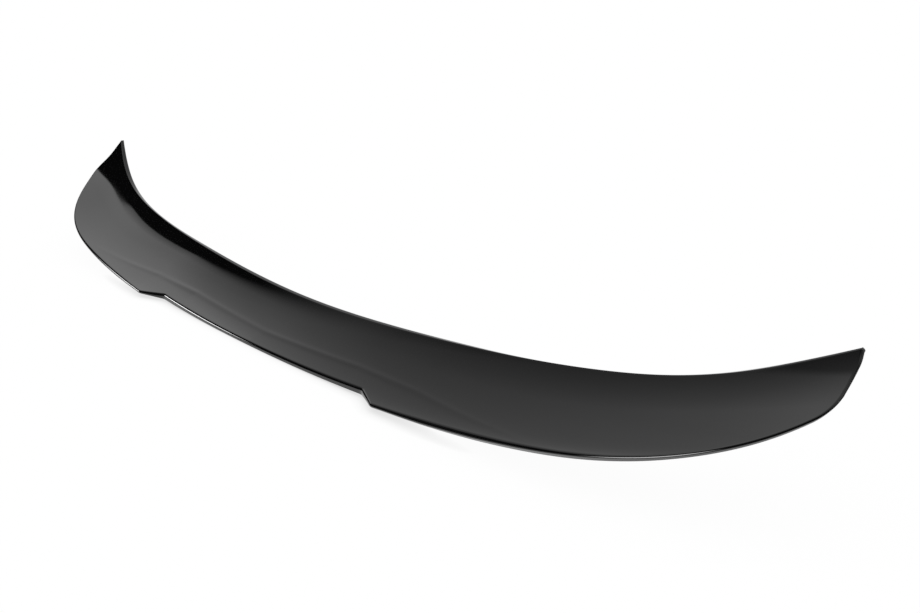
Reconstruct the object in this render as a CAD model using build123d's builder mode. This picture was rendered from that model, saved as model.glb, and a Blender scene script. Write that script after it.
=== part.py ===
import os
from math import cos, radians, sin, sqrt, tan

from build123d import *

# Rear spoiler for a boot lid: one moulded shell, hollow-curved on top, with a raised lip, open underneath.
# +X runs along the span, +Y from the front edge back to the lip, +Z up. The origin is on the floor, under
# the middle of the part. Lengths are in millimetres, angles in degrees.
width = 1188.0  # end to end

# The section is drawn at these shares of the half width, from the middle to just past the end.
station = (0.0, 0.20, 0.40, 0.67, 0.845, 0.945, 1.025)
front_y = (-78.5, -76.8, -71.5, -57.9, -34.1, 1.8, 48.0)  # front edge, before the notch is cut
edge_depth = (3.3, 3.8, 5.2, 5.6, 5.1, 3.1, 4.6)  # height of the front wall
lip_y = (8.9, 10.3, 14.0, 25.4, 46.4, 66.0, 84.6)  # rear edge of the lip
lip_z = (36.2, 39.3, 46.6, 62.0, 84.1, 106.7, 127.7)  # height of the lip
lip_angle = (41.1, 42.4, 44.4, 46.0, 48.7, 52.5, 56.8)  # slope of the top where it meets the lip
land = (4.0, 4.0, 4.4, 5.6, 7.0, 7.6, 6.6)  # width of the flat on top of the lip
rear_depth = (36.2, 38.8, 41.0, 32.0, 19.5, 9.0, 6.0)  # height of the rear wall
sag = (0.3, 0.3, 0.3, 0.3, 2.0, 9.0, 13.0)  # of the underside, which follows the top towards the ends

land_drop = 0.8  # fall of that flat towards the front
hollow_radius = 129.0  # of the concave top, across the span
skin = 2.5  # thickness of the top
rim = 5.5  # thickness of the front wall
rear_wall = 2.8  # thickness of the rear wall at its foot
rear_rake = 8.0  # lean of the rear wall
solid_end = 55.0  # length of each end that is left solid

end_corner_y = 38.4  # where the front edge would meet the end
end_corner_slope = 53.0  # direction of the front edge there, seen from above
end_lean = 4.0  # slant of the end, seen from above
end_radius = 30.0  # between the front edge and the end
tip_y = 67.5  # where the end turns in towards its tip
tip_lean = 22.0  # slant of the end from there on
tip_radius = 15.0  # of that turn

notch_length = 386.0  # along the recessed stretch of the front edge
notch_slant = 34.0  # length of each slanting side, along the span
notch_depth = 17.0  # mid span, from the front edge
notch_bow = 4.3  # bow of the recessed stretch
notch_corner = 10.0  # radius of its four corners

edge_radius = 2.0  # rolled edge along the front and the ends
edge_height = 2.4  # of the rolled edge, above the undercut of the front wall and the ends
lip_radius = 0.8  # on the two edges of the lip
clear = 20.0  # how far the cutting shapes run past the part

half = width / 2


def section(i):
    """The (y, z) corners of a section: foot of the hollow, ridge, lip, rear toe and heel."""
    slope = radians(lip_angle[i])
    lip = (lip_y[i], lip_z[i])
    ridge = (lip_y[i] - land[i], lip_z[i] - land_drop)
    foot = (ridge[0] - hollow_radius * sin(slope), ridge[1] - hollow_radius * (1 - cos(slope)))
    run = front_y[i] - foot[0]
    front_z = foot[1] + hollow_radius - sqrt(hollow_radius**2 - run**2) - edge_depth[i]
    toe = (lip[0] - rear_depth[i] * tan(radians(rear_rake)), lip[1] - rear_depth[i])
    share = run / (toe[0] - foot[0])
    heel = (foot[0], (front_z - toe[1] * share) / (1 - share) + 4 * sag[i] * share)
    return foot, ridge, lip, toe, heel


def stations():
    """Each station's number and its workplane, from the left end to the right one."""
    last = len(station) - 1
    for k in range(-last, last + 1):
        side = -1 if k < 0 else 1
        yield abs(k), Plane((side * station[abs(k)] * half, 0, 0), x_dir=(0, 1, 0), z_dir=(1, 0, 0))


# Plan outline: a front edge that bows into the ends, less the notch in its middle
lean = radians(end_lean)
turn = radians(90 + end_lean - end_corner_slope)
overhang = end_radius * (cos(lean) + tan(turn / 2) * sin(lean) - 1)  # of the sharp corner past the rounded one
front_points = [(share * half, y) for share, y in zip(station[:-1], front_y[:-1])]
end_corner = (half + overhang, end_corner_y)
rear = lip_y[-1] + clear
notch_half = notch_length / 2
notch_y = front_y[0] + notch_depth
notch_inner = (notch_half, notch_y + notch_bow)
notch_outer = (notch_half + notch_slant, notch_inner[1] - notch_depth)
notch_mouth = (notch_outer[0] + notch_slant, notch_outer[1] - notch_depth)

with BuildSketch() as notch:
    with BuildLine():
        ThreePointArc((-notch_inner[0], notch_inner[1]), (0, notch_y), notch_inner)
        Polyline(notch_inner, notch_mouth, (-notch_mouth[0], notch_mouth[1]), (-notch_inner[0], notch_inner[1]))
    make_face()


def inwards(points, inset):
    """The points of the front edge, each moved inwards by inset, square to the line between its neighbours."""
    ends = [(-points[1][0], points[1][1]), *points, (points[-1][0] - sin(lean), points[-1][1] + cos(lean))]
    moved = []
    for before, (x, y), after in zip(ends, points, ends[2:]):
        along = Vector(after[0] - before[0], after[1] - before[1]).normalized()
        moved.append((x - inset * along.Y, y + inset * along.X))
    return moved


def plan(inset):
    """The plan outline, moved inwards by inset along the front and the ends."""
    edge = inwards([*front_points, end_corner], inset)
    tip = (edge[-1][0] - (tip_y - edge[-1][1]) * tan(lean), tip_y)
    end_rear = (tip[0] - (rear - tip_y) * tan(radians(tip_lean)), rear)
    slope = radians(end_corner_slope)
    with BuildSketch() as shape:
        with BuildLine():
            Spline(*edge, tangents=[(1, 0), (cos(slope), sin(slope))])
            Polyline(edge[-1], tip, end_rear, (0, rear))
            mirror(about=Plane.YZ)
        make_face()
        corners = shape.vertices().group_by(Axis.X)
        fillet(corners[0] + corners[-1], end_radius)
        fillet(shape.vertices().filter_by(lambda vertex: abs(vertex.Y - tip_y) < 0.01), tip_radius)
        with BuildSketch(mode=Mode.SUBTRACT):
            add(notch.sketch)
            if inset:
                offset(amount=inset, kind=Kind.INTERSECTION, mode=Mode.REPLACE)
        fillet(shape.vertices().filter_by_position(Axis.X, -notch_mouth[0], notch_mouth[0]), notch_corner)
    return shape.sketch


# The hollow inside, open below: the top less its skin, and the walls less their thickness
with BuildPart() as hollow:
    for i, plane in stations():
        foot, ridge, lip, toe, heel = section(i)
        slope = radians(lip_angle[i])
        roof = (ridge[0] + skin * sin(slope), ridge[1] - skin * cos(slope))
        wall_foot = (toe[0] - rear_wall, toe[1])
        with BuildSketch(plane):
            with BuildLine():
                arc = JernArc(roof, (-cos(slope), -sin(slope)), hollow_radius + skin, -lip_angle[i])
                Polyline(arc @ 1, (foot[0], heel[1] - clear), (wall_foot[0], toe[1] - clear), wall_foot, roof)
            make_face()
    loft()
    with BuildSketch(Plane.XY.offset(-2 * clear)):
        add(plan(rim))
        Rectangle(2 * (half - solid_end), 2 * half, mode=Mode.INTERSECT)
    extrude(amount=lip_z[-1] + 4 * clear, mode=Mode.INTERSECT)

with BuildPart() as spoiler_shell:
    for i, plane in stations():
        foot, ridge, lip, toe, heel = section(i)
        slope = radians(lip_angle[i])
        with BuildSketch(plane):
            with BuildLine():
                arc = JernArc(ridge, (-cos(slope), -sin(slope)), hollow_radius, -lip_angle[i])
                Line(arc @ 1, heel)
                chord = (Vector(*toe) - Vector(*heel)).normalized()
                ThreePointArc(heel, (Vector(*heel) + Vector(*toe)) / 2 + sag[i] * Vector(chord.Y, -chord.X), toe)
                Polyline(toe, lip, ridge)
            make_face()
    loft()
    with BuildSketch(Plane.XY.offset(-2 * clear)):
        add(plan(0))
    extrude(amount=lip_z[-1] + 4 * clear, mode=Mode.INTERSECT)
    sides = spoiler_shell.faces().filter_by(lambda face: abs(face.normal_at().Z) < 0.01)
    walls = sides.filter_by(lambda face: abs(face.center().X) > notch_outer[0])
    add(hollow.part, mode=Mode.SUBTRACT)
    top = spoiler_shell.faces().sort_by(SortBy.AREA)[-1]
    fillet(top.edges().filter_by(lambda edge: edge.length < width / 2), edge_radius)
    fillet(spoiler_shell.edges().filter_by(lambda edge: edge.length > width).sort_by(Axis.Z)[-2:], lip_radius)
    # The front wall and the ends slant back under their rolled edge
    for wall in walls:
        out = wall.normal_at()
        inward = Vector(0, 1, -1) if abs(out.Y) > abs(out.X) else Vector(-out.X / abs(out.X), 0, -1)
        start = wall.moved(Location(Vector(0, 0, -edge_height) - inward * edge_height))
        extrude(start, amount=clear, dir=inward, mode=Mode.SUBTRACT)

spoiler_shell.part.label = "spoiler_shell"
os.makedirs("parts", exist_ok=True)
export_step(spoiler_shell.part, "parts/spoiler_shell.step")
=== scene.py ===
from math import cos, radians, sin, tan

import bmesh
import bpy
import numpy as np
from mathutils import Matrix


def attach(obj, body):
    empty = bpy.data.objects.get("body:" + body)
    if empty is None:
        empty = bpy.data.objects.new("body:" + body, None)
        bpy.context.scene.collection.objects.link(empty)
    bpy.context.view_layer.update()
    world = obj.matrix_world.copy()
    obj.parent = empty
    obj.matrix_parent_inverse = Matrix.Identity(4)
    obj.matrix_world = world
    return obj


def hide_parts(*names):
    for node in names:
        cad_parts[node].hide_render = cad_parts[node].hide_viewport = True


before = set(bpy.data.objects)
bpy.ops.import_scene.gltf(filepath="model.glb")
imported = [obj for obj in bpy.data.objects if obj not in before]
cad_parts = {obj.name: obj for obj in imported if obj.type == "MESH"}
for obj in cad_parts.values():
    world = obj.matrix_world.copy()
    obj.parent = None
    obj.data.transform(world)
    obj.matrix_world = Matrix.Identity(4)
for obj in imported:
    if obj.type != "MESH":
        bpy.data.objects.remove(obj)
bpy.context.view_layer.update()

# Spoiler shell: one injection moulding in gloss black plastic, open underneath, with a mirror finish from
# its tool. Its top is hollow-curved up to a narrow land along the rear lip, and its front edge and ends are
# rolled over a slanting flank. It is bonded to the boot lid along its lower rim, with nothing else on it.
mm = 0.001
half_width = 594 * mm
station = half_width * np.array((0.0, 0.20, 0.40, 0.67, 0.845, 0.945, 1.025))  # from the middle outwards
front_y = mm * np.array((-78.5, -76.6, -70.3, -57.5, -34.1, 1.8, 48.0))  # front edge, before the notch
edge_depth = mm * np.array((3.0, 3.3, 4.6, 5.7, 4.9, 4.1, 3.0))  # height of the front wall
lip_y = mm * np.array((8.9, 10.3, 14.0, 25.4, 46.4, 65.4, 83.2))  # rear edge of the lip
lip_z = mm * np.array((36.2, 39.3, 46.6, 62.0, 84.1, 106.7, 127.7))  # its height
lip_angle = np.radians((41.1, 42.4, 44.9, 47.29, 49.09, 53.0, 57.0))  # slope of the top at the land
land = mm * np.array((4.0, 4.0, 3.6, 3.4, 5.0, 4.8, 3.2))  # width of the flat along the lip
land_drop = mm * np.array((0.8, 0.8, 0.0, -1.31, -0.11, 0.8, 0.8))  # fall of that flat towards the front
rear_depth = mm * np.array((36.2, 38.8, 41.0, 32.0, 19.5, 9.0, 6.0))  # height of the rear wall
sag = mm * np.array((0.3, 0.3, 0.3, 0.3, 2.0, 9.0, 13.0))  # of the underside between its front and rear
hollow_radius = 129 * mm
skin = 2.5 * mm
rim = 5.5 * mm  # thickness of the front wall
rear_wall = 2.8 * mm
rear_rake = radians(8)
solid_end = 55 * mm  # length of each end that isn't hollow

# A faint crease in the top, behind the notch
crease_x = mm * np.array((0, 157, 245, 310, 400))
crease_y = mm * np.array((-41.0, -35.5, -37.5, -43.5, -50.0))
crease_fade = 245 * mm  # where it starts to die out
crease_end = 430 * mm
crease_fall = 0.045  # by which the top is steeper in front of it
crease_round = 2 * mm  # how softly it gets steeper
crease_rise = 0.32 * mm  # of the top along it
crease_reach = 3 * mm  # half the width of that rise


def spline(knots, values, ends=None):
    """A smooth curve through the values at the knots, leaving and arriving as ends says, or else unbent."""
    step = np.diff(knots)
    rise = np.diff(values, axis=0) / step[:, None]
    matrix = np.eye(len(knots))
    wanted = np.zeros_like(values)
    for i in range(1, len(step)):
        matrix[i, i - 1 : i + 2] = 1 / step[i - 1], 2 / step[i - 1] + 2 / step[i], 1 / step[i]
        wanted[i] = 3 * (rise[i - 1] / step[i - 1] + rise[i] / step[i])
    if ends is None:
        matrix[0, :2] = 2, 1
        matrix[-1, -2:] = 1, 2
        wanted[0], wanted[-1] = 3 * rise[0], 3 * rise[-1]
    else:
        wanted[0], wanted[-1] = ends
    slope = np.linalg.solve(matrix, wanted)

    def at(place):
        i = np.clip(np.searchsorted(knots, place) - 1, 0, len(step) - 1)
        length = step[i][..., None]
        t = (place - knots[i])[..., None] / length
        bend = (1 - t) * (slope[i] - rise[i]) - t * (slope[i + 1] - rise[i])
        return values[i] * (1 - t) + values[i + 1] * t + t * (1 - t) * length * bend

    return at


ridge_y = lip_y - land
foot_y = ridge_y - hollow_radius * np.sin(lip_angle)  # where the hollow top runs level
foot_z = lip_z - land_drop - hollow_radius * (1 - np.cos(lip_angle))
toe_y = lip_y - rear_depth * tan(rear_rake)
toe_z = lip_z - rear_depth
share = (front_y - foot_y) / (toe_y - foot_y)
front_z = foot_z + hollow_radius - np.sqrt(hollow_radius**2 - (front_y - foot_y) ** 2) - edge_depth
heel_z = (front_z - toe_z * share) / (1 - share) + 4 * sag * share
sizes = np.column_stack((lip_y, lip_z, lip_angle, land, land_drop, toe_y, toe_z, heel_z, sag))
sizes_at = spline(np.concatenate((-station[:0:-1], station)), np.concatenate((sizes[:0:-1], sizes)))


class Section:
    """The sizes of the section at each place along the span."""

    def __init__(self, x):
        here = np.moveaxis(sizes_at(np.asarray(x)), -1, 0)
        self.lip_y, self.lip_z, self.angle, self.land, self.drop = here[:5]
        self.toe_y, self.toe_z, self.heel_z, self.sag = here[5:]
        self.ridge_y = self.lip_y - self.land
        self.ridge_z = self.lip_z - self.drop
        self.foot_y = self.ridge_y - hollow_radius * np.sin(self.angle)
        self.centre_z = self.ridge_z + hollow_radius * np.cos(self.angle)


def smooth(value, start, end):
    """A soft step from 0 at start to 1 at end."""
    t = np.clip((value - start) / (end - start), 0, 1)
    return t * t * (3 - 2 * t)


def top(x, y):
    """Height of the upper face: the hollow with its crease as far as the ridge, and then the land."""
    at = Section(x)
    ahead = np.interp(abs(x), crease_x, crease_y) - y
    fall = crease_fall * (ahead + np.hypot(ahead, crease_round)) / 2
    rise = crease_rise * np.exp(-((ahead / crease_reach) ** 2))
    dip = (fall - rise) * smooth(abs(x), crease_end, crease_fade)
    hollow = at.centre_z - np.sqrt(hollow_radius**2 - (y - at.foot_y) ** 2) - dip
    return np.where(y < at.ridge_y, hollow, at.lip_z - at.drop * (at.lip_y - y) / at.land)


def roof(x, y):
    """Height of the inside of the skin."""
    at = Section(x)
    return at.centre_z - np.sqrt((hollow_radius + skin) ** 2 - (y - at.foot_y) ** 2)


def under(x, y):
    """Height of the face that the lower edges of the walls lie in."""
    at = Section(x)
    part = (y - at.foot_y) / (at.toe_y - at.foot_y)
    return at.heel_z + (at.toe_z - at.heel_z) * part - 4 * at.sag * part * (1 - part)


# The outline of one half seen from above, from the middle of the notch round to the lip
notch_half = 193 * mm
notch_slant = 42 * mm  # length of each slanting side, along the span
notch_depth = 17 * mm
notch_bow = 4.3 * mm
notch_radius = 14 * mm  # of its corners
end_corner = mm * np.array((594.48, 38.4))  # where the front edge would meet the end
end_heading = radians(53)  # of the front edge at that corner
end_radius = 30 * mm
end_lean = radians(4)
tip_y = 67.5 * mm  # where the end turns in towards its tip
tip_lean = radians(22)
tip_radius = 15 * mm
tip_length = 25 * mm  # enough to pass the lip
front_start = 0.3  # share of the front edge that is left out, within the notch


def turned(first, second, radius):
    """Two runs of points with an arc between them: the first as far as the arc, the arc and the rest."""
    heading = np.gradient(first, axis=0)
    heading /= np.linalg.norm(heading, axis=1)[:, None]
    onward = second[-1] - second[0]
    side = np.sign(heading[-1, 0] * onward[1] - heading[-1, 1] * onward[0])
    centres = first + side * radius * heading[:, ::-1] * (-1, 1)
    gaps = np.linalg.norm(centres[:, None] - second, axis=2)
    i = np.argmax(gaps.min(axis=1) <= radius)
    j = np.argmin(gaps[i])
    start, end = first[i] - centres[i], second[j] - centres[i]
    sweep = np.arctan2(start[0] * end[1] - start[1] * end[0], start @ end)
    angle = np.arctan2(start[1], start[0]) + np.linspace(0, sweep, 60)
    return first[:i], centres[i] + radius * np.column_stack((np.cos(angle), np.sin(angle))), second[j + 1 :]


middle_x = np.linspace(0, notch_half, 500)
middle_y = front_y[0] + notch_depth + notch_bow * (middle_x / notch_half) ** 2
notch_middle = np.column_stack((middle_x, middle_y))
notch_side = np.linspace(notch_middle[-1], notch_middle[-1] + 2 * np.array((notch_slant, -notch_depth)), 300)
front_points = np.vstack((np.column_stack((station[:-1], front_y[:-1])), end_corner))
chords = np.append(0, np.cumsum(np.linalg.norm(np.diff(front_points, axis=0), axis=1)))
front_run = spline(chords, front_points, ((1, 0), (cos(end_heading), sin(end_heading))))
front_edge = front_run(np.linspace(front_start, 1, 1500) * chords[-1])
tip = end_corner + (tip_y - end_corner[1]) * np.array((-tan(end_lean), 1))
end_edge = np.linspace(end_corner, tip, 300)
tip_edge = np.linspace(tip, tip + tip_length * np.array((-tan(tip_lean), 1)), 200)
pieces = [notch_middle]
turns = (
    (notch_side, notch_radius),
    (front_edge, notch_radius),
    (end_edge, end_radius),
    (tip_edge, tip_radius),
)
for onward, radius in turns:
    pieces[-1:] = turned(pieces[-1], onward, radius)
outline = np.concatenate(pieces)
outline = np.concatenate(((outline * (-1, 1))[:0:-1], outline))
run = np.append(0, np.cumsum(np.linalg.norm(np.diff(outline, axis=0), axis=1)))
run -= run[-1] / 2


def edge(place):
    """Points of the outline at these lengths along it from the middle."""
    return np.column_stack((np.interp(place, run, outline[:, 0]), np.interp(place, run, outline[:, 1])))


def inward(place):
    """The direction square to the outline, into the part."""
    step = 0.5 * mm
    ahead = edge(place + step) - edge(place - step)
    return ahead[:, ::-1] * (-1, 1) / np.linalg.norm(ahead, axis=1)[:, None]


# Ribs run from the outline back to the lip: straight back along the hollow stretch, fanned over the ends
ridge_round = 0.4 * mm
lip_round = 1.4 * mm
roll_x = mm * np.array((350, 480))  # the rolled edge gets tighter between these
roll_radii = mm * np.array((3.4, 2.0))
roll_share = 0.8  # of the wall's height, the most that it takes up
flank_fade = 50 * mm  # along the edge, from the upright wall of the notch to the slanting flank
hollow_end = half_width - solid_end


def edge_radius(x):
    """Radius of the rolled edge."""
    return np.interp(x, roll_x, roll_radii)


half_run = np.linspace(0, run[-1], 5000)
edge_x = edge(half_run)[:, 0]
rolled = edge(half_run) + edge_radius(edge_x)[:, None] * inward(half_run)
beside = Section(rolled[:, 0])
hollow_stop = half_run[np.argmax(edge_x >= hollow_end)]
flank_start = half_run[np.argmax(edge_x >= notch_half)]
ridge_end = np.argmax(rolled[:, 1] >= beside.ridge_y)
lip_end = np.argmax(rolled[:, 1] >= beside.lip_y - lip_round)
ridge_stop, ridge_stop_x = half_run[ridge_end], rolled[ridge_end, 0]
lip_stop, lip_stop_x = half_run[lip_end], rolled[lip_end, 0]

hollow_ribs = np.linspace(0, hollow_stop, 240)
place = np.append(hollow_ribs, np.linspace(hollow_stop, lip_stop, 90))
solid = np.arange(len(place)) >= len(hollow_ribs)
foot = edge(place)
back = inward(place)


def raised(plan, height):
    """Points seen from above, put at that height."""
    return np.concatenate((plan, height[..., None]), axis=-1)


def between(start, end, shares):
    """Points at these shares of the way from each start to its end."""
    return start + (end - start) * np.reshape(shares, (-1, 1, 1))


def bend(before, corner, after, count):
    """Points of a small curve that rounds a corner."""
    t = np.linspace(0, 1, count).reshape(-1, 1, 1)
    return (1 - t) ** 2 * before + 2 * t * (1 - t) * corner + t**2 * after


def stepped(start, end, length):
    """Points at that length from each start towards its end, or at the end where that is nearer."""
    way = end - start
    return start + way * np.minimum(1, length / np.maximum(np.linalg.norm(way, axis=1), 1e-9))[:, None]


# Rolled edge, and the flank that slants back under it; in the notch the wall stands upright
edge_z = top(*foot.T)
roll_radius = np.minimum(edge_radius(foot[:, 0]), roll_share * (edge_z - under(*foot.T)))
slope = (top(*(foot + roll_radius[:, None] * back).T) - edge_z) / roll_radius
angle = np.linspace(0, 1, 13)[:, None] * (np.pi / 2 - np.arctan(slope))
roll_in = roll_radius * (1 - np.cos(angle))
roll_z = edge_z + roll_radius * (slope - np.sqrt(1 + slope**2) + np.sin(angle))
roll = raised(foot + roll_in[..., None] * back, roll_z)
flank_in = np.zeros_like(edge_z)
for _ in range(8):  # until its foot lies on the underside
    flank_in = np.clip(roll_z[0] - under(*(foot + flank_in[:, None] * back).T), 0, rim)
flank_foot = foot + (flank_in * np.clip((place - flank_start) / flank_fade, 0, 1))[:, None] * back
flank_bottom = raised(flank_foot, under(*flank_foot.T))
flank = between(flank_bottom, roll[0], np.linspace(0, 1, 4)[:-1])

# Top, land, lip and rear wall
fan = place > hollow_stop
ridge_x = np.where(fan, np.interp(place, (hollow_stop, ridge_stop), (hollow_end, ridge_stop_x)), foot[:, 0])
lip_x = np.where(fan, np.interp(place, (hollow_stop, lip_stop), (hollow_end, lip_stop_x)), foot[:, 0])
at_ridge = Section(ridge_x)
at_lip = Section(lip_x)
ridge = np.column_stack((ridge_x, at_ridge.ridge_y, at_ridge.ridge_z))
ridge[place > ridge_stop] = roll[-1, place > ridge_stop]
lip = np.column_stack((lip_x, at_lip.lip_y, at_lip.lip_z))
toe = np.column_stack((lip_x, at_lip.toe_y, at_lip.toe_z))
top_plan = between(roll[-1, :, :2], stepped(ridge, roll[-1], ridge_round)[:, :2], np.linspace(0, 1, 72)[1:])
top_face = raised(top_plan, top(*np.moveaxis(top_plan, -1, 0)))
ridge_bend = bend(top_face[-1], ridge, stepped(ridge, lip, ridge_round), 6)[1:]
lip_bend = bend(stepped(lip, ridge, lip_round), lip, stepped(lip, toe, lip_round), 9)
rear = between(lip_bend[-1], toe, np.linspace(0, 1, 7)[1:])

# Underside: the hollow between the walls, or the plain lower face of the solid ends
rim_plan = foot + rim * back
wall_foot = raised(toe[:, :2] - (0, rear_wall), under(lip_x, at_lip.toe_y - rear_wall))
roof_start = np.column_stack(
    (lip_x, at_lip.ridge_y + skin * np.sin(at_lip.angle), at_lip.ridge_z - skin * np.cos(at_lip.angle))
)
wall = between(wall_foot, roof_start, np.linspace(0, 1, 6))
roof_plan = between(roof_start[:, :2], rim_plan, np.linspace(0, 1, 22)[1:])
roof_face = raised(roof_plan, roof(*np.moveaxis(roof_plan, -1, 0)))
rim_foot = raised(rim_plan, under(*rim_plan.T))[None]
hollow = np.concatenate((wall, roof_face, rim_foot))
lower_plan = between(toe[:, :2], flank_foot, np.linspace(0, 1, len(hollow) + 2)[1:-1])
lower = raised(lower_plan, under(*np.moveaxis(lower_plan, -1, 0)))
underside = np.where(solid[:, None], lower, hollow)

loops = np.concatenate((flank, roll, top_face, ridge_bend, lip_bend, rear, underside)).swapaxes(0, 1)
loops = np.concatenate((loops[:0:-1] * (-1, 1, 1), loops))
ribs, points = loops.shape[:2]
first = np.arange(points)
quads = [
    np.column_stack((first + points, np.roll(first, -1) + points, np.roll(first, -1), first)) + rib * points
    for rib in range(ribs - 1)
]
tips = [first.tolist(), (first[::-1] + (ribs - 1) * points).tolist()]
mesh = bpy.data.meshes.new("moulded_shell")
mesh.from_pydata(loops.reshape(-1, 3), [], np.concatenate(quads).tolist() + tips)
weld = 0.005 * mm  # points closer than this are one
shaping = bmesh.new()
shaping.from_mesh(mesh)
bmesh.ops.remove_doubles(shaping, verts=shaping.verts, dist=weld)
bmesh.ops.dissolve_degenerate(shaping, edges=shaping.edges, dist=weld)
shaping.to_mesh(mesh)
shaping.free()
sharp_angle = radians(40)
mesh.shade_smooth()
mesh.set_sharp_from_angle(angle=sharp_angle)
shell = bpy.data.objects.new("moulded_shell", mesh)
bpy.context.scene.collection.objects.link(shell)
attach(shell, "root")
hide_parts("spoiler_shell")


class Shade:
    """One output of a shader node. Sums with it add Math nodes to its node tree."""

    def __init__(self, tree, socket=None):
        self.tree = tree
        self.socket = socket

    def node(self, kind, settings=None, inputs=None, output=0):
        """Adds a node: its settings first, then the values or links of its sockets."""
        made = self.tree.nodes.new("ShaderNode" + kind)
        for name, value in (settings or {}).items():
            if name == "stops":
                ramp = made.color_ramp.elements
                while len(ramp) < len(value):
                    ramp.new(0.5)
                for stop, (place, level) in zip(ramp, value):
                    stop.position = place
                    stop.color = (level, level, level, 1)
            else:
                setattr(made, name, value)
        for name, value in (inputs or {}).items():
            if isinstance(value, Shade):
                self.tree.links.new(value.socket, made.inputs[name])
            else:
                made.inputs[name].default_value = value
        return Shade(self.tree, made.outputs[output] if made.outputs else None)

    def math(self, operation, first, second):
        """Adds a Math node."""
        return self.node("Math", {"operation": operation}, {0: first, 1: second})

    def __add__(self, other):
        return self.math("ADD", self, other)

    def __radd__(self, other):
        return self.math("ADD", other, self)

    def __sub__(self, other):
        return self.math("SUBTRACT", self, other)

    def __rsub__(self, other):
        return self.math("SUBTRACT", other, self)

    def __mul__(self, other):
        return self.math("MULTIPLY", self, other)

    def __rmul__(self, other):
        return self.math("MULTIPLY", other, self)


def new_material(name):
    """An empty material, and its node tree to write shades in."""
    material = bpy.data.materials.new(name)
    material.use_nodes = True
    material.node_tree.nodes.clear()
    return material, Shade(material.node_tree)


black, shade = new_material("gloss_black_plastic")
spot = shade.node("TexCoord", output="Object")
haze = shade.node("TexNoise", {}, {"Vector": spot, "Scale": 9.0, "Detail": 5.0})
ripple = shade.node("TexNoise", {}, {"Vector": spot, "Scale": 260.0, "Detail": 1.0})
bump = shade.node("Bump", {}, {"Height": ripple, "Strength": 0.02, "Distance": 0.2 * mm})
tint = shade.node(
    "Mix",
    {"data_type": "RGBA"},
    {"Factor": haze, "A": (0.0016, 0.0016, 0.0017, 1), "B": (0.0026, 0.0026, 0.0027, 1)},
    output="Result",
)
roughness = 0.03 + 0.03 * haze
gloss = shade.node(
    "BsdfPrincipled", {}, {"Base Color": tint, "Roughness": roughness, "IOR": 1.5, "Normal": bump}
)
shade.node("OutputMaterial", {}, {"Surface": gloss})
mesh.materials.append(black)

# Floor: a plain white sheet that runs out of sight. It shows white to the camera and in the gloss, with a
# painted soft shadow of the part, darkest where the two touch; a small share keeps its real light and shadow.
even_share = 0.96  # of plain white in its look; the rest is its shading
bpy.ops.mesh.primitive_plane_add(size=40)
floor = bpy.context.object
floor.name = "floor"
white, shade = new_material("white_sheet")
paper = shade.node("BsdfDiffuse", {}, {"Color": (0.95, 0.95, 0.95, 1)})
# Painted shadow: the glow darkens to 0.65 grey within 12 mm of the part, in place of its contact shadow.
painted_shadow_mask = shade.node("AmbientOcclusion", {"samples": 8}, {"Distance": 0.012}, output="AO")
painted_contact_shadow = shade.node(
    "Mix",
    {"data_type": "RGBA"},
    {"Factor": painted_shadow_mask, "A": (0.65, 0.65, 0.65, 1), "B": (1, 1, 1, 1)},
    output="Result",
)
glow = shade.node("Emission", {}, {"Color": painted_contact_shadow, "Strength": 1.0})
seen = shade.node("LightPath", output="Is Camera Ray") + shade.node("LightPath", output="Is Glossy Ray")
sheet = shade.node("MixShader", {}, {"Fac": even_share * seen, 1: paper, 2: glow})
shade.node("OutputMaterial", {}, {"Surface": sheet})
floor.data.materials.append(white)

# Backdrop: a tall card to the left of the part. It is bright at its foot, dim half way and bright again
# above, and its near lower corner is dark. Only the gloss sees it.
upper_top = 2.5  # where the upper brightness is full
lower_top = 1.1  # where the lower brightness has gone
lean = 0.22  # of the upper bands, along the card
near_lean = 0.63  # more of it, over the near half
foot_start = -0.2  # from where the height of the dark foot is given
corner_y = -0.112  # near lower corner of the bright area
corner_z = 0.434
side_lean = 0.42  # of the near side of that area
side_top = 0.61  # where that side turns upright
blur = 0.003  # half the width of its edges
soft = {"interpolation_type": "SMOOTHSTEP"}


def reflected_card(name, centre, turn, size):
    """A flat card that only the gloss sees, and its node tree."""
    bpy.ops.mesh.primitive_plane_add(size=1, location=centre, rotation=turn)
    card = bpy.context.object
    card.name = name
    card.scale = (*size, 1)
    for ray in ("camera", "diffuse", "transmission", "volume_scatter", "shadow"):
        setattr(card, "visible_" + ray, False)
    material, shade = new_material(name)
    card.data.materials.append(material)
    return shade


def glowing(shade, level, strength):
    """Ends a card's material: a grey glow of that level."""
    grey = shade.node("CombineColor", {}, {"Red": level, "Green": level, "Blue": level})
    light = shade.node("Emission", {}, {"Color": grey, "Strength": strength})
    shade.node("OutputMaterial", {}, {"Surface": light})


shade = reflected_card("backdrop", (-1.2, -0.9, 2.0), (0, radians(90), 0), (4.0, 4.6))
where = shade.node("NewGeometry", output="Position")
along = shade.node("SeparateXYZ", {}, {"Vector": where}, output="Y")
height = shade.node("SeparateXYZ", {}, {"Vector": where}, output="Z")
leaning = height + lean * along + near_lean * shade.math("MINIMUM", along, 0.0)
upper_stops = [
    (0.2, 0.0),
    (0.32, 0.29),
    (0.42, 0.38),
    (0.52, 0.49),
    (0.64, 0.66),
    (0.76, 0.92),
    (0.88, 1.19),
    (1.0, 1.32),
]
upper = shade.node("ValToRGB", {"stops": upper_stops}, {"Fac": leaning * (1 / upper_top)})
lower_stops = [
    (0.45, 0.92),
    (0.55, 0.82),
    (0.61, 0.52),
    (0.67, 0.33),
    (0.76, 0.16),
    (0.87, 0.04),
    (1.0, 0.0),
]
lower = shade.node("ValToRGB", {"stops": lower_stops}, {"Fac": height * (1 / lower_top)})
distant = shade.node("MapRange", soft, {"Value": along, "From Min": 0.1, "From Max": 0.6, "To Max": 0.58})
higher = shade.node("MapRange", soft, {"Value": height, "From Min": 0.42, "From Max": 0.6})
bands = upper + lower * (1 - distant * higher)
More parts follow.
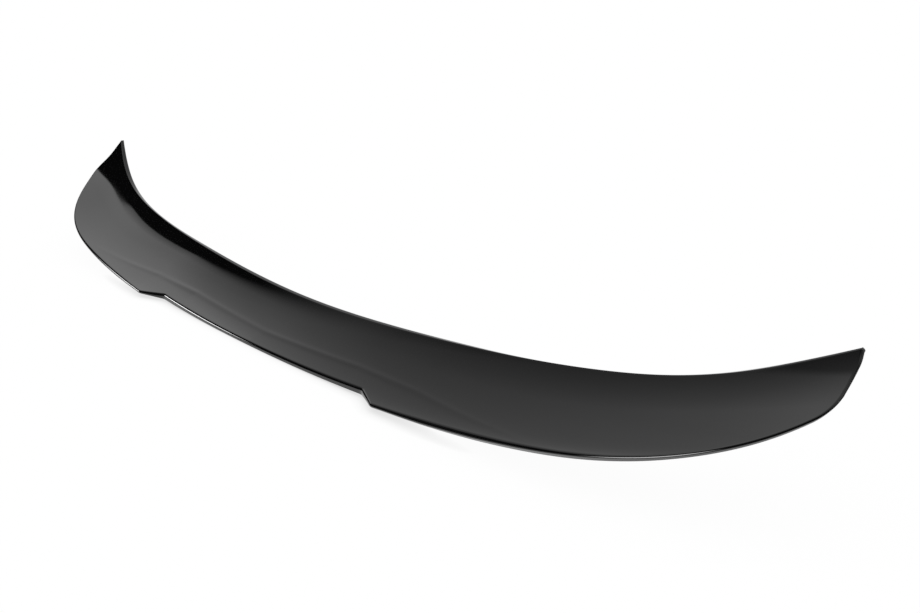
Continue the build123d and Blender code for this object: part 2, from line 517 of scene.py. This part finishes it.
foot_stops = [(0.09, 0.437), (0.1, 0.44), (0.115, 0.453), (0.18, 0.449), (0.3, 0.45), (0.4, 0.0)]
foot_height = shade.node("ValToRGB", {"stops": foot_stops}, {"Fac": along - foot_start})
above_foot = shade.node(
    "MapRange", soft, {"Value": height - foot_height, "From Min": -blur, "From Max": blur}
)
side = corner_y - side_lean * (shade.math("MINIMUM", height, side_top) - corner_z)
widening = shade.node("MapRange", {}, {"Value": height, "From Min": 0.6, "From Max": 0.8})
side_start = side - 0.06 * widening
crisp_end = side + blur + 0.1 * widening
gradual_end = side + 0.05 + 0.05 * widening
crisp = shade.node("MapRange", soft, {"Value": along, "From Min": side_start - blur, "From Max": crisp_end})
gradual = shade.node("MapRange", {}, {"Value": along, "From Min": side_start, "From Max": gradual_end})
inside = 0.5 * (crisp + gradual)
over = shade.node("MapRange", soft, {"Value": height, "From Min": 0.71, "From Max": 0.9})
near_end = shade.node("MapRange", soft, {"Value": along, "From Min": -1.5, "From Max": -1.1, "To Min": 0.5})
glowing(shade, bands * above_foot * (inside + over - inside * over) * near_end, 1.0)

# Lamps: two small soft lamps, one low on the left and one close in front of the right half. They draw the
# thin white lines along the rolled front edge. Only the gloss sees them, and no further off than their reach.
rim_start = 0.25  # share of a lamp's width from its middle, where it starts to dim
rim_end = 0.5
reach_start = 0.9  # share of its reach, where it starts to dim
lamps = (  # name, place, turn in degrees, width and height, strength, reach
    ("left_lamp", (-1.19, -0.59, 0.23), (90, 110, 90), (0.22, 0.56), 16.0, 1.45),
    ("front_lamp", (0.46, -0.35, 0.17), (90, -10, 0), (0.4, 0.24), 12.0, 0.65),
)
for name, centre, turn, size, strength, reach in lamps:
    shade = reflected_card(name, centre, np.radians(turn), size)
    where = shade.node("TexCoord", output="Object")
    off = shade.node("VectorMath", {"operation": "LENGTH"}, {0: where}, output="Value")
    distance = shade.node("LightPath", output="Ray Length")
    middle = shade.node("MapRange", soft, {"Value": off, "From Min": rim_end, "From Max": rim_start})
    close = shade.node(
        "MapRange", soft, {"Value": distance, "From Min": reach, "From Max": reach_start * reach}
    )
    glowing(shade, middle * close, strength)

# Light: an even white dome. In the gloss it shows bright behind the part, to its right and overhead, and dark
# in front and on the left.
right_share = 0.6  # how far the right counts as behind
world = bpy.data.worlds.new("studio")
world.use_nodes = True
world.node_tree.nodes.clear()
bpy.context.scene.world = world
shade = Shade(world.node_tree)
direction = shade.node("TexCoord", output="Generated")
rightward = shade.node("SeparateXYZ", {}, {"Vector": direction}, output="X")
backward = shade.node("SeparateXYZ", {}, {"Vector": direction}, output="Y")
upward = shade.node("SeparateXYZ", {}, {"Vector": direction}, output="Z")
facing = backward + right_share * shade.math("MAXIMUM", rightward, 0.0)
behind = shade.node("MapRange", soft, {"Value": facing, "From Min": 0.03, "From Max": 0.35})
brighter = shade.node(
    "MapRange", soft, {"Value": upward, "From Min": 0.3, "From Max": 0.7, "To Min": 0.25, "To Max": 0.9}
)
ceiling = shade.node("MapRange", soft, {"Value": upward, "From Min": 0.75, "From Max": 0.95, "To Max": 0.8})
dome = shade.math("MAXIMUM", behind * brighter, ceiling)
glossy = shade.node("LightPath", output="Is Glossy Ray")
even = shade.node("Background", {}, {"Color": (1, 1, 1, 1), "Strength": 1.08})
dark = shade.node("Background", {}, {"Color": (0, 0, 0, 1), "Strength": 1.0})
lit = shade.node("Background", {}, {"Color": (1, 1, 1, 1), "Strength": 1.0})
shown = shade.node("MixShader", {}, {"Fac": dome, 1: dark, 2: lit})
sky = shade.node("MixShader", {}, {"Fac": glossy, 1: even, 2: shown})
shade.node("OutputWorld", {}, {"Surface": sky})

# Camera: a 50 mm lens, from the front right and a little above. It looks along the span, with the left end
# far off and the right end near.
looking_down = radians(15.6)
looking_left = radians(52.54)
eye = bpy.data.cameras.new("camera")
eye.lens = 50.0
eye.sensor_width = 36.0
camera = bpy.data.objects.new("camera", eye)
camera.location = (1.055, -0.612, 0.3655)
camera.rotation_euler = (radians(90) - looking_down, 0, looking_left)
bpy.context.scene.collection.objects.link(camera)
bpy.context.scene.camera = camera
bpy.context.scene.view_settings.view_transform = "Standard"
